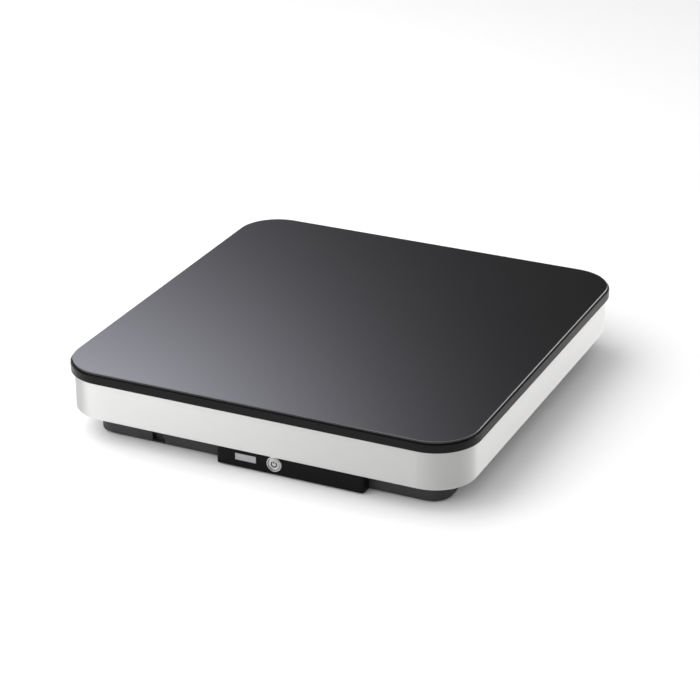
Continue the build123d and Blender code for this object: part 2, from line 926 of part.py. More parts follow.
def pack_face():
    """The black moulding that shows at the front, hollow from behind."""
    front = face_front
    face = block(pack_left, pack_right, front, face_back, tray_bottom, face_top)
    face = fillet(face.edges().filter_by(Axis.Z).group_by(Axis.Y)[0], pack_corner)
    face = fillet(face.edges().group_by(Axis.Y)[0], 0.6)
    inside = block(
        pack_left + 2.5, pack_right - 2.5, front + face_wall, face_back + 1, tray_bottom + 2, face_top - 2
    )
    face -= inside
    face += [rod(x, pack_split, front + 1, face_back, 3.0) for x in face_screw_places()]
    face += [
        block(x - 0.8, x + 0.8, front + 1, face_back - 2, tray_bottom + 1, face_top - 1)
        for x in (pack_left + 14, button_x + 14, button_x + 32, pack_right - 12)
    ]
    face -= [rod(x, pack_split, face_screw_end, face_back + 1, 1.3) for x in face_screw_places()]
    face -= rod(button_x, button_z, front - 1, front + face_wall + 1, barrel_radius + 0.1)
    face -= block(
        badge_x - badge_width / 2 - 0.1,
        badge_x + badge_width / 2 + 0.1,
        front - 1,
        front + badge_thickness / 2,
        badge_low - 0.1,
        badge_low + badge_height + 0.1,
    )
    return face


def pack_badge():
    front = face_front
    plate = block(
        badge_x - badge_width / 2,
        badge_x + badge_width / 2,
        front - badge_thickness / 2,
        front + badge_thickness / 2,
        badge_low,
        badge_low + badge_height,
    )
    return chamfer(plate.edges().group_by(Axis.Y)[0], 0.1)


def pack_screws():
    screws = []
    for x, y in pack_screw_places():
        seat = body_bottom + 1.2
        screws.append(screw_up(x, y, seat, 11.0, 1.25, 2.3, 1.1))
    for x in face_screw_places():
        seat = face_back + pack_wall
        shank = rod(x, pack_split, face_screw_end + slip, seat, 1.2)
        screws.append(shank + rod(x, pack_split, seat, seat + 1.8, 2.6))
    return group(screws)


def cell_places():
    """Left edges of the two columns of cells."""
    first = body_left + pack_wall + cell_side
    return [first, first + cell_width + cell_channel]


def channel_x():
    """Middle of the channel between the columns."""
    return cell_places()[0] + cell_width + cell_channel / 2


def battery_cells():
    low = body_bottom + pack_shell
    cells = []
    for x in cell_places():
        for z in (low, low + cell_height + cell_gap):
            cell = block(x, x + cell_width, cell_front, cell_front + cell_length, z, z + cell_height)
            cells.append(fillet(cell.edges().filter_by(Axis.Y), 1.5))
    return group(cells)


def cell_pad():
    low = body_bottom + pack_shell + cell_height
    high = low + cell_gap
    back = cell_front + cell_length
    return group([block(x + 2, x + cell_width - 2, cell_front, back, low, high) for x in cell_places()])


def bus_bars():
    back = cell_front + cell_length
    low = body_bottom + pack_shell + 1.5
    high = low + 2 * cell_height + cell_gap - 3
    left, right = cell_places()
    middle = channel_x()
    bars = [block(x - 5, x + 5, back, back + 0.8, low, high) for x in (left + 10, right + cell_width - 10)]
    bars += [block(middle - 12, middle + 12, back, back + 0.8, z, z + 3) for z in (low, high - 3)]
    return group(bars)


def bms_corners():
    return board_corners(body_left + 4, body_right - 4, bms_front - 2, body_back - 8)


def bms_board():
    """The pack's own board with its switches, shunt and sockets."""
    left = body_left + 8.5
    right = body_right - 8.5
    plate = block(left, right, bms_front, body_back - 3, bms_level, bms_level + board_thickness)
    plate -= [post(x, y, bms_level, bms_level + board_thickness, 1.2) for x, y in bms_corners()]
    top = bms_level + board_thickness
    for x in (left + 6, left + 15, left + 24):
        plate += block(x, x + 6, bms_front + 14, bms_front + 21, top, top + 2)
    plate += block(right - 22, right - 10, bms_front + 12, bms_front + 15, top, top + 3)
    socket = channel_x()
    plate += block(socket - 4, socket + 4, bms_front + 1, bms_front + 7, top, top + 4)
    return plate


def pack_connector():
    back = body_back - 0.2
    low = bms_level + board_thickness
    half = connector_half - slip
    shell = block(dc_x - half, dc_x + half, back - 9, back, low, connector_high - slip)
    middle = (connector_low + connector_high) / 2
    shell -= [block(x - 0.8, x + 0.8, back - 8, back, middle - 3, middle + 3) for x in blade_places()]
    return shell


def pack_leads():
    """From the end bus bars to the pack's board."""
    left, right = cell_places()
    start = cell_front + cell_length + 0.8
    level = bms_level + board_thickness
    y = bms_front + 4
    leads = []
    for x in (left + 10, right + cell_width - 10):
        leads.append(lead([(x, start, level + 5), (x, y, level + 5), (x, y, level)], [3.0], 2.4))
    return group(leads)


def button_lead():
    """From the switch, along the channel between the cells, to the pack's board."""
    start = switch_back()
    level = bms_level + board_thickness + 2
    points = [
        (button_x, start, button_z),
        (button_x, start + 9, button_z),
        (channel_x(), start + 14, level),
        (channel_x(), bms_front + 1, level),
    ]
    return lead(points, [3.0, 4.0], 2.0)


# Power button


def barrel_back():
    return face_front + barrel_length


def switch_back():
    return barrel_back() + switch_depth


def button_ring():
    """A thin barrel with a rounded flange that shows on the face."""
    flange = rod(button_x, button_z, face_front - ring_proud, face_front, ring_radius)
    flange = fillet(flange.edges().group_by(Axis.Y)[0], 0.7)
    barrel = flange + rod(button_x, button_z, face_front, barrel_back(), barrel_radius)
    return barrel - rod(button_x, button_z, face_front - ring_proud, barrel_back(), bore_radius)


def button_nut():
    near = face_front + face_wall
    nut = rod(button_x, button_z, near, near + 2, nut_radius)
    return nut - rod(button_x, button_z, near, near + 2, barrel_radius + 0.05)


def power_button():
    front = face_front - ring_proud + cap_recess
    cap = rod(button_x, button_z, front, front + cap_length, cap_radius)
    cap = fillet(cap.edges().group_by(Axis.Y)[0], 0.5)
    return cap + rod(button_x, button_z, front + cap_length, barrel_back() - stem_gap, stem_radius)


def button_spring():
    """A coil round the stem, seated on the switch. It stops one travel short of the cap."""
    back = barrel_back()
    front = face_front - ring_proud + cap_recess + cap_length + button_travel
    wire = 0.5
    path = Helix(pitch=1.3, height=back - front - wire - 0.1, radius=3.6)
    start = Plane(origin=path @ 0, z_dir=path % 0)
    coil = sweep(start * Circle(wire / 2), path=path)
    return Pos(button_x, back - wire / 2, button_z) * Rot(90, 0, 0) * coil


def button_switch():
    return rod(button_x, button_z, barrel_back(), switch_back(), barrel_radius)


nodes = {
    "glass_top": glass_top,
    "glass_seal": glass_seal,
    "top_bezel": top_bezel,
    "steel_skirt": steel_skirt,
    "case_screws": case_screws,
    "base_tray": base_tray,
    "foot_front_left": lambda: foot(-foot_x, -foot_y),
    "foot_front_right": lambda: foot(foot_x, -foot_y),
    "foot_rear_left": lambda: foot(-foot_x, foot_y),
    "foot_rear_right": lambda: foot(foot_x, foot_y),
    "charge_contacts": charge_contacts,
    "coil_plate": coil_plate,
    "coil_plate_screws": coil_plate_screws,
    "coil_carrier": coil_carrier,
    "ferrite_bars": ferrite_bars,
    "coil_inner": coil_inner,
    "coil_outer": coil_outer,
    "insulation_disc": insulation_disc,
    "sensor_holder": sensor_holder,
    "glass_sensor": glass_sensor,
    "sensor_spring": sensor_spring,
    "coil_leads": coil_leads,
    "signal_leads": signal_leads,
    "power_board": power_board,
    "heatsink": heatsink,
    "power_transistors": power_transistors,
    "bus_capacitors": bus_capacitors,
    "resonant_capacitors": resonant_capacitors,
    "filter_choke": filter_choke,
    "board_terminals": board_terminals,
    "dc_leads": dc_leads,
    "inner_screws": inner_screws,
    "control_board": control_board,
    "control_chips": control_chips,
    "link_ribbon": link_ribbon,
    "fan_housing": fan_housing,
    "fan_stator": fan_stator,
    "fan_rotor": fan_rotor,
    "fan_shaft": fan_shaft,
    "battery_bay": battery_bay,
    "bay_springs": bay_springs,
    "bay_connector": bay_connector,
    "pack_lower_shell": pack_lower_shell,
    "pack_upper_shell": pack_upper_shell,
    "pack_face": pack_face,
    "pack_badge": pack_badge,
    "pack_screws": pack_screws,
    "battery_cells": battery_cells,
    "cell_pad": cell_pad,
    "bus_bars": bus_bars,
    "bms_board": bms_board,
    "pack_connector": pack_connector,
    "pack_leads": pack_leads,
    "button_lead": button_lead,
    "button_ring": button_ring,
    "button_nut": button_nut,
    "power_button": power_button,
    "button_spring": button_spring,
    "button_switch": button_switch,
}

os.makedirs("parts", exist_ok=True)
for name, make in nodes.items():
    export_step(make(), f"parts/{name}.step")
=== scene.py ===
import json
import math

import bmesh
import bpy
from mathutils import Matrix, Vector


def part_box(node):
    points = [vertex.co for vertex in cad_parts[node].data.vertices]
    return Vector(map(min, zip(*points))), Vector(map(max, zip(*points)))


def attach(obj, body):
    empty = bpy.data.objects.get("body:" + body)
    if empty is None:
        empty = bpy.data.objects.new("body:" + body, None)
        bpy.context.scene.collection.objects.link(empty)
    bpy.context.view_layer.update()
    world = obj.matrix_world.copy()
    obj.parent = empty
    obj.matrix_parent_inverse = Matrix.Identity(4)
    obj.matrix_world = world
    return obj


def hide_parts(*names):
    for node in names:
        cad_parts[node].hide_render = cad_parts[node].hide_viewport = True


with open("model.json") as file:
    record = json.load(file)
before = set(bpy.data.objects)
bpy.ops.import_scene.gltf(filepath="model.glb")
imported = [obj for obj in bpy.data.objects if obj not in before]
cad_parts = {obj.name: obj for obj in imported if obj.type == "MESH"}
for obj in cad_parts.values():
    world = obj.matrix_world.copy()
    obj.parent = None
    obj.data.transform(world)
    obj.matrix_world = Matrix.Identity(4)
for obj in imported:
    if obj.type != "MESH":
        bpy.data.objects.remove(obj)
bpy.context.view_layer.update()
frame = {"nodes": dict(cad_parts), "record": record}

NODES = frame["nodes"]
LENS_MM = 119.14
SENSOR_MM = 36.0
TARGET = Vector((-0.00413, 0.01084, 0.03119))
AZIMUTH = math.radians(24.732)
ELEVATION = math.radians(24.806)
DISTANCE = 2.0373
MM = 0.001
BEDDED = 0.02  # how far an inlay or a label starts inside what it lies on, in millimetres


# Node helpers


class Shader:
    """A node material, built from the principled shader backwards."""

    def __init__(self, name):
        self.material = bpy.data.materials.new(name)
        self.material.use_nodes = True
        self.tree = self.material.node_tree
        self.nodes = self.tree.nodes
        self.principled = self.nodes["Principled BSDF"]
        self.place = self.nodes.new("ShaderNodeTexCoord").outputs["Object"]
        self.height = None

    def link(self, source, target):
        self.tree.links.new(source, target)

    def set(self, **values):
        """Constants on the shader's own sockets."""
        for key, value in values.items():
            self.principled.inputs[key.replace("_", " ")].default_value = value

    def mapped(self, scale=(1, 1, 1), moved=(0, 0, 0)):
        """Object space, scaled and moved."""
        node = self.nodes.new("ShaderNodeMapping")
        node.inputs["Scale"].default_value = scale
        node.inputs["Location"].default_value = moved
        self.link(self.place, node.inputs["Vector"])
        return node.outputs["Vector"]

    def noise(self, scale, detail=3.0, rough=0.55, vector=None, distortion=0.0):
        node = self.nodes.new("ShaderNodeTexNoise")
        node.inputs["Scale"].default_value = scale
        node.inputs["Detail"].default_value = detail
        node.inputs["Roughness"].default_value = rough
        node.inputs["Distortion"].default_value = distortion
        self.link(vector or self.place, node.inputs["Vector"])
        return node.outputs["Fac"]

    def cells(self, scale, feature="F1"):
        node = self.nodes.new("ShaderNodeTexVoronoi")
        node.feature = feature
        node.inputs["Scale"].default_value = scale
        self.link(self.place, node.inputs["Vector"])
        return node.outputs["Distance"]

    def waves(self, scale, vector=None, distortion=0.0, direction="X", kind="BANDS"):
        node = self.nodes.new("ShaderNodeTexWave")
        node.wave_type = kind
        if kind == "BANDS":
            node.bands_direction = direction
        else:
            node.rings_direction = direction
        node.inputs["Scale"].default_value = scale
        node.inputs["Distortion"].default_value = distortion
        self.link(vector or self.place, node.inputs["Vector"])
        return node.outputs["Fac"]

    def span(self, value, low, high, source_low=0.0, source_high=1.0):
        node = self.nodes.new("ShaderNodeMapRange")
        node.inputs["From Min"].default_value = source_low
        node.inputs["From Max"].default_value = source_high
        node.inputs["To Min"].default_value = low
        node.inputs["To Max"].default_value = high
        self.link(value, node.inputs["Value"])
        return node.outputs["Result"]

    def along(self, axis):
        """The place along one axis of the object, in metres."""
        node = self.nodes.new("ShaderNodeSeparateXYZ")
        self.link(self.place, node.inputs[0])
        return node.outputs[axis]

    def arithmetic(self, operation, first, second=0.0):
        node = self.nodes.new("ShaderNodeMath")
        node.operation = operation
        for socket, value in zip(node.inputs, (first, second)):
            if isinstance(value, float):
                socket.default_value = value
            else:
                self.link(value, socket)
        return node.outputs[0]

    def product(self, first, second):
        return self.arithmetic("MULTIPLY", first, second)

    def larger(self, first, second):
        return self.arithmetic("MAXIMUM", first, second)

    def blend(self, factor, first, second):
        """A colour between two colours, each a tuple or a socket."""
        node = self.nodes.new("ShaderNodeMix")
        node.data_type = "RGBA"
        self.link(factor, node.inputs["Factor"])
        for key, colour in (("A", first), ("B", second)):
            socket = [s for s in node.inputs if s.name == key and s.type == "RGBA"][0]
            if isinstance(colour, tuple):
                socket.default_value = (*colour, 1.0)
            else:
                self.link(colour, socket)
        return [s for s in node.outputs if s.type == "RGBA"][0]

    def colour(self, source):
        self.link(source, self.principled.inputs["Base Color"])

    def roughness(self, source):
        self.link(source, self.principled.inputs["Roughness"])

    def bump(self, source, depth, strength=1.0):
        """Adds a layer of bump, in metres of height."""
        node = self.nodes.new("ShaderNodeBump")
        node.inputs["Strength"].default_value = strength
        node.inputs["Distance"].default_value = depth
        self.link(source, node.inputs["Height"])
        if self.height:
            self.link(self.height, node.inputs["Normal"])
        self.height = node.outputs["Normal"]
        self.link(self.height, self.principled.inputs["Normal"])


def shade(colour, factor):
    return tuple(channel * factor for channel in colour)


# Materials


def black_glass():
    """Polished black ceramic glass with faint haze; the chamfer's top band is matt from grinding and a
    painted highlight.
    """
    m = Shader("black_glass")
    haze = m.noise(9.0, detail=4.0)
    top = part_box("glass_top")[1].z
    # limits of the chamfer band, which is matt from grinding and carries a painted highlight line
    ground_highlight_from = top - 0.08 * MM
    ground_highlight_to = top - 0.32 * MM
    soften = 0.06 * MM
    level = m.along("Z")
    below_top = m.span(level, 1.0, 0.0, ground_highlight_from, ground_highlight_from + soften)
    above_side = m.span(level, 0.0, 1.0, ground_highlight_to - soften, ground_highlight_to)
    ground_highlight = m.product(below_top, above_side)
    body = m.blend(haze, (0.0060, 0.0060, 0.0066), (0.0085, 0.0085, 0.0092))
    # painted highlight: the chamfer band is coloured lighter to show its highlight line; its raised
    # roughness is real
    m.colour(m.blend(ground_highlight, body, (0.13, 0.13, 0.135)))
    m.roughness(m.larger(m.span(haze, 0.055, 0.075), m.span(ground_highlight, 0.0, 0.42)))
    m.bump(m.noise(14.0, detail=1.0), depth=0.00002, strength=0.25)
    m.set(IOR=1.5)
    return m.material


def moulded(name, colour, rough, spark, depth, cell=2600.0, specular=0.5):
    """A moulded plastic with a spark-eroded texture and slight tone changes."""
    m = Shader(name)
    tone = m.noise(28.0, detail=4.0)
    fine = m.noise(cell, detail=2.0, rough=0.7)
    m.colour(m.blend(tone, shade(colour, 0.86), shade(colour, 1.14)))
    m.roughness(m.span(fine, rough - spark, rough + spark))
    m.bump(fine, depth, strength=0.6)
    m.bump(m.noise(60.0, detail=1.0), depth=0.00003, strength=0.3)
    m.set(IOR=1.5, Specular_IOR_Level=specular)
    return m.material


def bezel_plastic():
    m = Shader("bezel_plastic")
    tone = m.noise(40.0, detail=3.0)
    m.colour(m.blend(tone, (0.0022, 0.0022, 0.0024), (0.0040, 0.0040, 0.0043)))
    m.roughness(m.span(m.noise(900.0, detail=2.0), 0.24, 0.34))
    m.bump(m.noise(1500.0, detail=2.0), depth=0.000012, strength=0.5)
    m.set(IOR=1.5, Specular_IOR_Level=0.14)
    return m.material


def tray_plastic():
    return moulded(
        "tray_plastic", (0.025, 0.025, 0.027), rough=0.52, spark=0.08, depth=0.00006, specular=0.35
    )


def face_plastic():
    return moulded(
        "face_plastic",
        (0.0030, 0.0030, 0.0032),
        rough=0.36,
        spark=0.05,
        depth=0.000012,
        cell=1800.0,
        specular=0.10,
    )


def pack_plastic():
    return moulded("pack_plastic", (0.022, 0.022, 0.023), rough=0.50, spark=0.07, depth=0.00004)


def skirt_steel():
    """Stainless sheet, brushed along its length, with a welded seam down the middle of the back."""
    m = Shader("skirt_steel")
    streak = m.noise(6.0, detail=8.0, rough=0.75, vector=m.mapped(scale=(3.0, 3.0, 900.0)))
    broad = m.noise(5.0, detail=2.0)
    light = m.blend(streak, (0.59, 0.59, 0.585), (0.71, 0.71, 0.705))
    m.colour(m.blend(m.span(broad, 0.0, 0.25), light, (0.64, 0.64, 0.64)))
    m.roughness(m.span(streak, 0.44, 0.56))
    m.bump(streak, depth=0.00001, strength=0.35)
    seam_bottom = 0.2 * MM
    seam_edge = 0.7 * MM
    off_seam = m.span(m.arithmetic("ABSOLUTE", m.along("X")), 0.0, 1.0, seam_bottom, seam_edge)
    in_front = m.span(m.along("Y"), 1.0, 0.0, 0.0, 10.0 * MM)
    m.bump(m.larger(off_seam, in_front), depth=0.00012, strength=0.6)
    m.set(Metallic=1.0, Anisotropic=0.85, Anisotropic_Rotation=0.25)
    return m.material


def plain_metal(name, colour, rough, streaks=(60.0, 60.0, 60.0)):
    """Worked metal with fine tool marks and handling tone."""
    m = Shader(name)
    marks = m.noise(8.0, detail=6.0, rough=0.7, vector=m.mapped(scale=streaks))
    tone = m.noise(55.0, detail=3.0)
    m.colour(m.blend(tone, shade(colour, 0.88), shade(colour, 1.06)))
    m.roughness(m.span(marks, rough - 0.07, rough + 0.08))
    m.bump(marks, depth=0.00001, strength=0.3)
    m.set(Metallic=1.0)
    return m.material


def screw_steel():
    return plain_metal("screw_steel", (0.56, 0.57, 0.58), rough=0.32)


def contact_metal():
    return plain_metal("contact_metal", (0.09, 0.082, 0.066), rough=0.45, streaks=(30.0, 30.0, 400.0))


def plate_aluminium():
    return plain_metal("plate_aluminium", (0.74, 0.75, 0.76), rough=0.38, streaks=(900.0, 12.0, 60.0))


def sensor_metal():
    return plain_metal("sensor_metal", (0.70, 0.70, 0.69), rough=0.22)


def shaft_steel():
    return plain_metal("shaft_steel", (0.60, 0.60, 0.60), rough=0.25)


def badge_print():
    return plain_metal("badge_print", (0.42, 0.42, 0.43), rough=0.36, streaks=(20.0, 20.0, 900.0))


def button_chrome():
    """Satin metal, turned round its own axis."""
    m = Shader("button_chrome")
    low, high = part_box("power_button")
    centre = (low + high) / 2
    about_axis = m.mapped(moved=(-centre.x, 0.0, -centre.z))
    rings = m.waves(900.0, vector=about_axis, distortion=0.6, direction="Y", kind="RINGS")
    tone = m.noise(260.0, detail=2.0)
    m.colour(m.blend(tone, (0.50, 0.50, 0.495), (0.62, 0.62, 0.615)))
    m.roughness(m.span(rings, 0.22, 0.32))
    m.bump(rings, depth=0.000004, strength=0.35)
    m.set(Metallic=1.0)
    return m.material


def rubber(name, colour, rough=0.75):
    m = Shader(name)
    dust = m.noise(120.0, detail=5.0, rough=0.65)
    m.colour(m.blend(dust, shade(colour, 0.8), shade(colour, 1.35)))
    m.roughness(m.span(dust, rough - 0.08, rough + 0.1))
    m.bump(m.noise(3000.0, detail=2.0), depth=0.00003, strength=0.5)
    return m.material


def foot_rubber():
    return rubber("foot_rubber", (0.018, 0.018, 0.018))


def silicone():
    return rubber("silicone", (0.03, 0.03, 0.032), rough=0.5)


def lead_red():
    return rubber("lead_red", (0.36, 0.022, 0.018), rough=0.42)


def lead_grey():
    return rubber("lead_grey", (0.26, 0.26, 0.27), rough=0.45)


def cell_foam():
    return rubber("cell_foam", (0.10, 0.10, 0.10), rough=0.85)


def carrier_plastic():
    return moulded(
        "carrier_plastic", (0.075, 0.075, 0.08), rough=0.45, spark=0.08, depth=0.00003, cell=900.0
    )


def fan_plastic():
    return moulded("fan_plastic", (0.018, 0.018, 0.018), rough=0.38, spark=0.06, depth=0.00002)


def switch_plastic():
    return moulded("switch_plastic", (0.022, 0.022, 0.022), rough=0.42, spark=0.06, depth=0.00002)


def terminal_white():
    return moulded("terminal_white", (0.66, 0.65, 0.60), rough=0.45, spark=0.06, depth=0.00002)


def chip_black():
    return moulded("chip_black", (0.016, 0.016, 0.017), rough=0.5, spark=0.08, depth=0.00003)


def ferrite():
    m = Shader("ferrite")
    grain = m.cells(900.0)
    m.colour(m.blend(grain, (0.032, 0.032, 0.034), (0.085, 0.085, 0.088)))
    m.roughness(m.span(grain, 0.5, 0.72))
    m.bump(grain, depth=0.00004, strength=0.6)
    return m.material


def litz():
    """Enamelled copper strands, twisted round the winding."""
    m = Shader("litz")
    rings = m.waves(420.0, direction="Z", kind="RINGS", distortion=1.5)
    strands = m.noise(700.0, detail=4.0, rough=0.7)
    m.colour(m.blend(strands, (0.40, 0.135, 0.045), (0.78, 0.36, 0.16)))
    m.roughness(m.span(strands, 0.22, 0.42))
    m.bump(rings, depth=0.00012, strength=0.6)
    m.bump(strands, depth=0.00005, strength=0.5)
    m.set(Metallic=0.85)
    return m.material


def stator_copper():
    m = Shader("stator_copper")
    turns = m.waves(900.0, direction="Z", distortion=0.8)
    m.colour(m.blend(turns, (0.30, 0.10, 0.035), (0.74, 0.34, 0.15)))
    m.roughness(m.span(turns, 0.25, 0.4))
    m.bump(turns, depth=0.00008, strength=0.7)
    m.set(Metallic=0.85)
    return m.material


def mica():
    m = Shader("mica")
    flakes = m.cells(160.0, feature="SMOOTH_F1")
    fleck = m.noise(420.0, detail=5.0, rough=0.7)
    body = m.blend(flakes, (0.50, 0.45, 0.35), (0.68, 0.63, 0.52))
    m.colour(m.blend(m.span(fleck, 0.0, 0.5), body, (0.82, 0.79, 0.70)))
    m.roughness(m.span(flakes, 0.35, 0.6))
    m.bump(fleck, depth=0.00003, strength=0.5)
    return m.material


def board_green():
    """Solder mask over copper tracks."""
    m = Shader("board_green")
    tracks = m.cells(170.0, feature="DISTANCE_TO_EDGE")
    edge = m.span(tracks, 1.0, 0.0, 0.0, 0.06)
    tone = m.noise(90.0, detail=3.0)
    body = m.blend(tone, (0.010, 0.085, 0.030), (0.014, 0.115, 0.042))
    m.colour(m.blend(edge, body, (0.035, 0.24, 0.085)))
    m.roughness(m.span(tone, 0.26, 0.38))
    m.bump(edge, depth=0.00004, strength=0.6)
    return m.material


def capacitor_sleeve():
    m = Shader("capacitor_sleeve")
    tone = m.noise(70.0, detail=3.0)
    m.colour(m.blend(tone, (0.010, 0.018, 0.060), (0.018, 0.030, 0.090)))
    m.roughness(m.span(m.noise(500.0), 0.16, 0.3))
    m.bump(m.noise(90.0), depth=0.0001, strength=0.4)
    return m.material


def film_yellow():
    return moulded("film_yellow", (0.48, 0.30, 0.03), rough=0.3, spark=0.06, depth=0.00002, cell=900.0)


def choke_core():
    m = Shader("choke_core")
    low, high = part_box("filter_choke")
    centre = (low + high) / 2
    about_axis = m.mapped(moved=(-centre.x, -centre.y, 0.0))
    turns = m.waves(330.0, vector=about_axis, distortion=3.0)
    m.colour(m.blend(turns, (0.20, 0.17, 0.05), (0.42, 0.17, 0.07)))
    m.roughness(m.span(turns, 0.3, 0.5))
    m.bump(turns, depth=0.0001, strength=0.5)
    return m.material


def cell_wrap():
    m = Shader("cell_wrap")
    creases = m.noise(55.0, detail=6.0, rough=0.7, distortion=0.6)
    m.colour(m.blend(creases, (0.22, 0.27, 0.40), (0.34, 0.40, 0.54)))
    m.roughness(m.span(creases, 0.22, 0.4))
    m.bump(creases, depth=0.00025, strength=0.5)
    return m.material


MATERIALS = {
    make.__name__: make
    for make in (
        black_glass, silicone, bezel_plastic, skirt_steel, screw_steel, tray_plastic, foot_rubber,
        contact_metal, plate_aluminium, carrier_plastic, ferrite, litz, mica, sensor_metal, lead_red,
        lead_grey, board_green, chip_black, capacitor_sleeve, film_yellow, choke_core, terminal_white,
        fan_plastic, stator_copper, shaft_steel, pack_plastic, face_plastic, badge_print, cell_wrap,
        cell_foam, button_chrome, switch_plastic,
    )
}


def dress_nodes():
    """Gives every CAD node the material of its slot."""
    made = {slot: make() for slot, make in MATERIALS.items()}
    for part in frame["record"]["subparts"]:
        node = NODES[part["node"]]
        node.data.materials.clear()
        node.data.materials.append(made[part["material_slot"]])
    return made


# Pieces in finer detail


def add_piece(name, mesh, body, slot, materials):
    piece = bpy.data.objects.new(name, mesh)
    bpy.context.scene.collection.objects.link(piece)
    piece.data.materials.append(materials[slot])
    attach(piece, body)
    return piece


def finish_mesh(shape, name, sharp=32.0):
    """Closes a bmesh and shades it smooth, with its real corners left sharp."""
    bmesh.ops.remove_doubles(shape, verts=shape.verts, dist=1e-7)
    bmesh.ops.recalc_face_normals(shape, faces=shape.faces)
    mesh = bpy.data.meshes.new(name)
    shape.to_mesh(mesh)
    shape.free()
    mesh.shade_smooth()
    mesh.set_sharp_from_angle(angle=math.radians(sharp))
    return mesh


def arc(centre_radius, centre_height, radius, start, end, steps=8):
    """Points of a rounded corner in a turned profile, angles in degrees."""
    points = []
    for step in range(steps + 1):
        angle = math.radians(start + (end - start) * step / steps)
        points.append((centre_radius + radius * math.cos(angle), centre_height + radius * math.sin(angle)))
    return points


def about_y(centre):
    return lambda radius, height, angle: (
        centre.x + radius * math.cos(angle) * MM,
        centre.y + height * MM,
        centre.z + radius * math.sin(angle) * MM,
    )


def about_z(centre):
    return lambda radius, height, angle: (
        centre.x + radius * math.cos(angle) * MM,
        centre.y + radius * math.sin(angle) * MM,
        centre.z + height * MM,
    )


def lathe(name, profile, turn, steps=96, closed=False):
    """A turned piece. The profile's points are (radius, height) in millimetres."""
    shape = bmesh.new()
    columns = []
    for step in range(steps):
        angle = 2 * math.pi * step / steps
        columns.append([shape.verts.new(turn(radius, height, angle)) for radius, height in profile])
    spans = len(profile) if closed else len(profile) - 1
    for step, column in enumerate(columns):
        beside = columns[(step + 1) % steps]
        for index in range(spans):
            after = (index + 1) % len(profile)
            shape.faces.new((column[index], column[after], beside[after], beside[index]))
    return finish_mesh(shape, name)


def rounded_outline(width, height, radius, steps=8):
    """A rounded rectangle's points, round its middle."""
    points = []
    for corner, (side_x, side_y) in enumerate(((1, 1), (-1, 1), (-1, -1), (1, -1))):
        for step in range(steps + 1):
            angle = math.radians(90 * corner + 90 * step / steps)
            points.append(
                (
                    side_x * (width / 2 - radius) + radius * math.cos(angle),
                    side_y * (height / 2 - radius) + radius * math.sin(angle),
                )
            )
    return points


def plate(name, width, height, radius, steps, place):
    """A plate with a stepped edge: steps are (inset, level) pairs from its back round to its face."""
    shape = bmesh.new()
    rings = []
    for inset, level in steps:
        outline = rounded_outline(width - 2 * inset, height - 2 * inset, max(radius - inset, 0.2))
        rings.append([shape.verts.new(place(x, y, level)) for x, y in outline])
    for lower, upper in zip(rings, rings[1:]):
        for index in range(len(lower)):
            after = (index + 1) % len(lower)
            shape.faces.new((lower[index], lower[after], upper[after], upper[index]))
    shape.faces.new(rings[0])
    shape.faces.new(rings[-1])
    return finish_mesh(shape, name, 20.0)


def button_centre():
    """The button's axis, where it crosses the plane of the pack's face."""
    low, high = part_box("button_ring")
    return Vector(((low.x + high.x) / 2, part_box("pack_face")[0].y, (low.z + high.z) / 2))


def button_flange(materials):
    """The ring: a rounded flange with a fine groove, a bevel down to the bore, and the thin barrel."""
    centre = button_centre()
    low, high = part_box("button_ring")
    outer = (high.x - low.x) / 2 / MM
    proud = (centre.y - low.y) / MM
    back = (high.y - centre.y) / MM
    barrel = outer - 0.7
    bore = outer - 1.2
    bevel = 0.75
    groove = outer - 0.1
    groove_levels = (-0.28, -0.36, -0.44, -0.52)
    edge = 0.62
    lip = 0.32
    profile = [(outer, 0.0)]
    profile += zip((outer, groove, groove, outer), groove_levels)
    profile += arc(outer - edge, edge - proud, edge, 0, -90)
    profile += arc(bore + lip + 0.1, lip - proud, lip, -90, -165, steps=5)
    profile += [(bore, bevel - proud), (bore, back), (barrel, back), (barrel, 0.0)]
    mesh = lathe("power_button_flange", profile, about_y(centre), steps=128, closed=True)
    piece = add_piece("power_button_flange", mesh, "battery_pack", "button_chrome", materials)
    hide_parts("button_ring")


def button_cap(materials):
    """The cap: a sunk middle that carries the symbol, a raised rim, a groove and a rounded edge."""
    centre = button_centre()
    low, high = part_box("power_button")
    radius = (high.x - low.x) / 2 / MM
    front = (low.y - centre.y) / MM
    back = (high.y - centre.y) / MM
    sunk = front + 0.16
    sunk_radius = 3.45
    rim_inner, rim_outer = 3.7, 4.35
    groove = front + 0.32
    groove_inner, groove_outer = 4.36, 4.66
    outer_face = front + 0.03
    skirt = front + 3.2
    stem = 2.2
    edge = 0.45
    profile = [(0.0, sunk), (sunk_radius, sunk), (rim_inner - 0.1, front + 0.04), (rim_inner, front)]
    profile += [(rim_outer, front), (groove_inner, groove), (groove_outer, groove)]
    profile += [(groove_outer + 0.02, outer_face)]
    profile += arc(radius - edge, outer_face + edge, edge, -90, 0, steps=6)
    profile += [(radius, skirt), (stem, skirt), (stem, back), (0.0, back)]
    mesh = lathe("power_button_cap", profile, about_y(centre), steps=128)
    piece = add_piece("power_button_cap", mesh, "power_button", "button_chrome", materials)
    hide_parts("power_button")
    symbol = symbol_mesh(centre, sunk)
    add_piece("power_button_symbol", symbol, "power_button", "switch_plastic", materials)


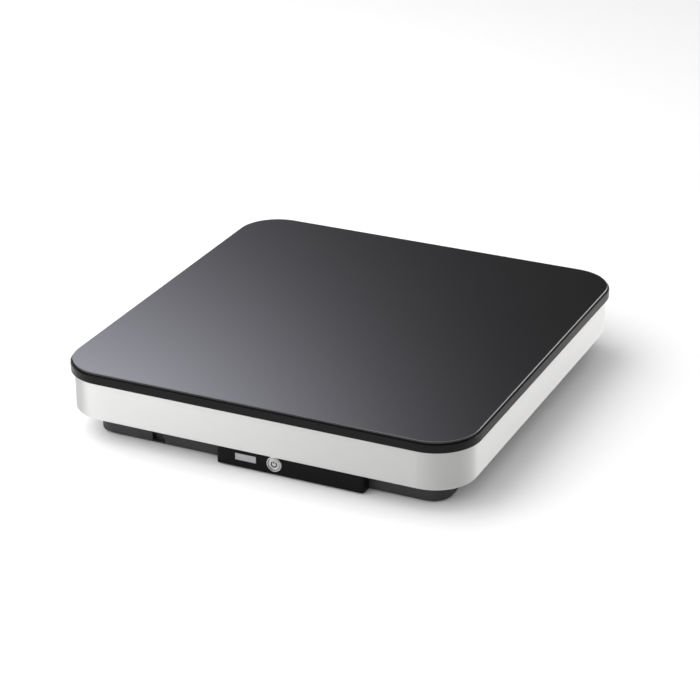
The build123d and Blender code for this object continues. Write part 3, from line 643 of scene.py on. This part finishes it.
def symbol_mesh(centre, floor):
    """The usual on/off symbol: an open ring and a bar, as dark inlays a little proud of the cap."""
    inner, outer = 1.7, 2.9
    half_bar = 0.48
    bar_low, bar_high = 0.55, 3.0
    rounding = 0.05
    narrowing = 0.08
    slope = 0.06
    gap = 34.0  # degrees left open at each side of the bar
    steps = 48
    inside = floor + BEDDED
    face = floor - 0.05
    shape = bmesh.new()

    def section(low, high, along, start=(0.0, 0.0)):
        """Four corners across the inlay, on a line through start, closer together at its face."""
        corners = []
        for far, level in ((low, inside), (high, inside), (high - slope, face), (low + slope, face)):
            x = start[0] + far * along[0]
            z = start[1] + far * along[1]
            corners.append(shape.verts.new((centre.x + x * MM, centre.y + level * MM, centre.z + z * MM)))
        return corners

    def join(sections):
        for first, second in zip(sections, sections[1:]):
            for index in range(4):
                after = (index + 1) % 4
                shape.faces.new((first[index], first[after], second[after], second[index]))
        shape.faces.new(sections[0])
        shape.faces.new(sections[-1])

    ring = []
    for step in range(steps + 1):
        angle = math.radians(90 + gap + (360 - 2 * gap) * step / steps)
        ring.append(section(inner, outer, (math.cos(angle), math.sin(angle))))
    join(ring)

    bar = []
    for z, shrink in (
        (bar_low, narrowing),
        (bar_low + rounding, 0.0),
        (bar_high - rounding, 0.0),
        (bar_high, narrowing),
    ):
        bar.append(section(shrink - half_bar, half_bar - shrink, (1.0, 0.0), start=(0.0, z)))
    join(bar)
    return finish_mesh(shape, "power_button_symbol", 20.0)


def feet(materials):
    """Rubber feet with ringed treads, and the stem and head that hold them in the tray."""
    grooves = (3.4, 5.8, 8.2)
    mouth, bed, deep = 0.55, 0.35, 0.5  # half a groove's width at its mouth and its bed, and its depth
    pad_high, pad_edge = 2.5, 0.5
    stem, head = 2.4, 4.0
    head_high, head_edge = 1.6, 0.6
    for side in ("front_left", "front_right", "rear_left", "rear_right"):
        low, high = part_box(f"foot_{side}")
        centre = Vector(((low.x + high.x) / 2, (low.y + high.y) / 2, 0.0))
        radius = (high.x - low.x) / 2 / MM
        top = (high.z - low.z) / MM
        profile = [(0.0, 0.35), (1.2, 0.35), (1.5, 0.0)]
        for groove in grooves:
            profile += [(groove - mouth, 0.0), (groove - bed, deep)]
            profile += [(groove + bed, deep), (groove + mouth, 0.0)]
        profile += arc(radius - pad_edge, pad_edge, pad_edge, -90, 0, steps=6)
        profile += [(radius, pad_high), (stem, pad_high), (stem, top - head_high), (head, top - head_high)]
        profile += arc(head - head_edge, top - head_edge, head_edge, 0, 90, steps=4) + [(0.0, top)]
        mesh = lathe(f"tread_{side}", profile, about_z(centre))
        piece = add_piece(f"tread_{side}", mesh, "base", "foot_rubber", materials)
        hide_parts(f"foot_{side}")


def underside_label(materials):
    """A blank plate below the tray, with a fine line sunk round its edge."""
    width, height, corner = 74.0, 38.0, 3.0
    middle_x, middle_y = -52.0, 96.0
    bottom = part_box("base_tray")[0].z / MM
    face = bottom - 0.15
    line = bottom - 0.09
    steps = [(0.0, bottom + BEDDED), (0.0, bottom - 0.08), (0.1, face), (1.6, face)]
    steps += [(1.75, line), (2.0, line), (2.15, face)]

    def place(x, y, level):
        return ((x + middle_x) * MM, (y + middle_y) * MM, level * MM)

    mesh = plate("rating_plate", width, height, corner, steps, place)
    add_piece("rating_plate", mesh, "base", "badge_print", materials)


def pack_label(materials):
    """A blank sticker on the pack's upper shell, with a fine line sunk round its edge."""
    width, height, corner = 78.0, 46.0, 3.0
    low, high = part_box("pack_upper_shell")
    middle_x = (low.x + high.x) / 2
    middle_y = low.y + 62.0 * MM
    top = high.z / MM
    face = top + 0.12
    line = top + 0.08
    steps = [(0.0, top - BEDDED), (0.0, top + 0.06), (0.08, face), (1.4, face)]
    steps += [(1.5, line), (1.7, line), (1.8, face)]

    def place(x, y, level):
        return (middle_x + x * MM, middle_y + y * MM, level * MM)

    mesh = plate("pack_label", width, height, corner, steps, place)
    add_piece("pack_label", mesh, "battery_pack", "badge_print", materials)


# Stage, light and camera


def floor():
    side = 60.0
    bpy.ops.mesh.primitive_plane_add(size=side, location=(0, 0, 0))
    plane = bpy.context.object
    plane.name = "studio_floor"
    m = Shader("studio_white")
    grain = m.noise(3.0)
    m.colour(m.blend(grain, (0.86, 0.86, 0.86), (0.88, 0.88, 0.88)))
    m.set(Roughness=0.9, Specular_IOR_Level=0.0)
    plane.data.materials.append(m.material)


def direction(azimuth, elevation):
    """Azimuth is measured from +Y towards +X, in degrees."""
    a = math.radians(azimuth)
    e = math.radians(elevation)
    return Vector((math.sin(a) * math.cos(e), math.cos(a) * math.cos(e), math.sin(e)))


def studio_world():
    """White to the camera, evenly bright to matt surfaces, and to glossy ones a dim room with lit areas."""
    world = bpy.data.worlds.new("studio")
    bpy.context.scene.world = world
    world.use_nodes = True
    tree = world.node_tree
    tree.nodes.clear()
    new = tree.nodes.new
    link = tree.links.new
    place = new("ShaderNodeTexCoord").outputs["Generated"]

    def feed(value, socket):
        if isinstance(value, float):
            socket.default_value = value
        else:
            link(value, socket)

    def math_node(operation, *values):
        node = new("ShaderNodeMath")
        node.operation = operation
        for socket, value in zip(node.inputs, values):
            feed(value, socket)
        return node.outputs[0]

    def facing(azimuth, elevation):
        """Cosine of the angle to one direction."""
        node = new("ShaderNodeVectorMath")
        node.operation = "DOT_PRODUCT"
        link(place, node.inputs[0])
        node.inputs[1].default_value = direction(azimuth, elevation)
        return node.outputs["Value"]

    def glow(azimuth, elevation, tightness, bright):
        """A round glow that falls off smoothly from its middle."""
        fall = math_node("MULTIPLY", math_node("SUBTRACT", facing(azimuth, elevation), 1.0), tightness)
        return math_node("MULTIPLY", math_node("EXPONENT", fall), bright)

    def patch(azimuth, elevation, edge, full, dim, bright):
        """A soft-edged patch of light: dim outside the cosine edge, bright inside the cosine full."""
        node = new("ShaderNodeMapRange")
        node.interpolation_type = "SMOOTHSTEP"
        link(facing(azimuth, elevation), node.inputs["Value"])
        node.inputs["From Min"].default_value = edge
        node.inputs["From Max"].default_value = full
        node.inputs["To Min"].default_value = dim
        node.inputs["To Max"].default_value = bright
        return node.outputs["Result"]

    def background(strength, colour=(1.0, 1.0, 1.0, 1.0)):
        node = new("ShaderNodeBackground")
        node.inputs["Color"].default_value = colour
        feed(strength, node.inputs["Strength"])
        return node.outputs[0]

    def where(ray, otherwise, then):
        """One background for one kind of ray, and another for the rest."""
        node = new("ShaderNodeMixShader")
        link(rays.outputs[ray], node.inputs["Fac"])
        link(otherwise, node.inputs[1])
        link(then, node.inputs[2])
        return node.outputs[0]

    back_left = glow(-34.8, 32.5, tightness=135.0, bright=8.7)
    back_right = glow(24.0, 14.0, tightness=40.0, bright=5.2)
    front = patch(-140.0, 0.0, edge=0.2, full=0.98, dim=0.086, bright=0.5)
    right = patch(40.0, 4.0, edge=0.66, full=0.93, dim=0.0, bright=0.55)
    neutral = math_node("ADD", math_node("ADD", back_right, front), right)
    shiny = new("ShaderNodeAddShader")
    link(background(back_left, (0.99, 0.99, 1.12, 1.0)), shiny.inputs[0])
    link(background(neutral, (1.01, 1.0, 0.985, 1.0)), shiny.inputs[1])

    rays = new("ShaderNodeLightPath")
    lit = where("Is Glossy Ray", otherwise=background(0.72), then=shiny.outputs[0])
    seen = where("Is Camera Ray", otherwise=lit, then=background(1.0))
    link(seen, new("ShaderNodeOutputWorld").inputs["Surface"])


def soft_box(name, azimuth, elevation, distance, size, power, reflected):
    """A rectangular lamp aimed at the origin. Glossy surfaces show it only if it is reflected."""
    light = bpy.data.lights.new(name, "AREA")
    light.shape = "RECTANGLE"
    light.size, light.size_y = size
    light.energy = power
    lamp = bpy.data.objects.new(name, light)
    bpy.context.scene.collection.objects.link(lamp)
    towards = direction(azimuth, elevation)
    lamp.location = towards * distance
    lamp.rotation_euler = towards.to_track_quat("Z", "Y").to_euler()
    lamp.visible_camera = False
    lamp.visible_glossy = reflected


def lights():
    """A key high at the left, a fill in front, and a low panel at the front left that the metal shows."""
    soft_box("key", -99.0, 60.0, distance=1.6, size=(2.0, 1.8), power=21.0, reflected=False)
    soft_box("fill", -172.0, 40.0, distance=1.8, size=(1.8, 1.0), power=9.0, reflected=False)
    soft_box("panel", -140.0, 12.0, distance=1.15, size=(0.9, 0.6), power=3.5, reflected=True)


def camera():
    data = bpy.data.cameras.new("camera")
    data.lens = LENS_MM
    data.sensor_width = SENSOR_MM
    view = bpy.data.objects.new("camera", data)
    bpy.context.scene.collection.objects.link(view)
    away = Vector(
        (
            math.sin(AZIMUTH) * math.cos(ELEVATION),
            -math.cos(AZIMUTH) * math.cos(ELEVATION),
            math.sin(ELEVATION),
        )
    )
    view.location = TARGET + away * DISTANCE
    view.rotation_euler = away.to_track_quat("Z", "Y").to_euler()
    bpy.context.scene.camera = view


materials = dress_nodes()
button_flange(materials)
button_cap(materials)
feet(materials)
underside_label(materials)
pack_label(materials)
floor()
studio_world()
lights()
camera()
bpy.context.scene.view_settings.view_transform = "Standard"
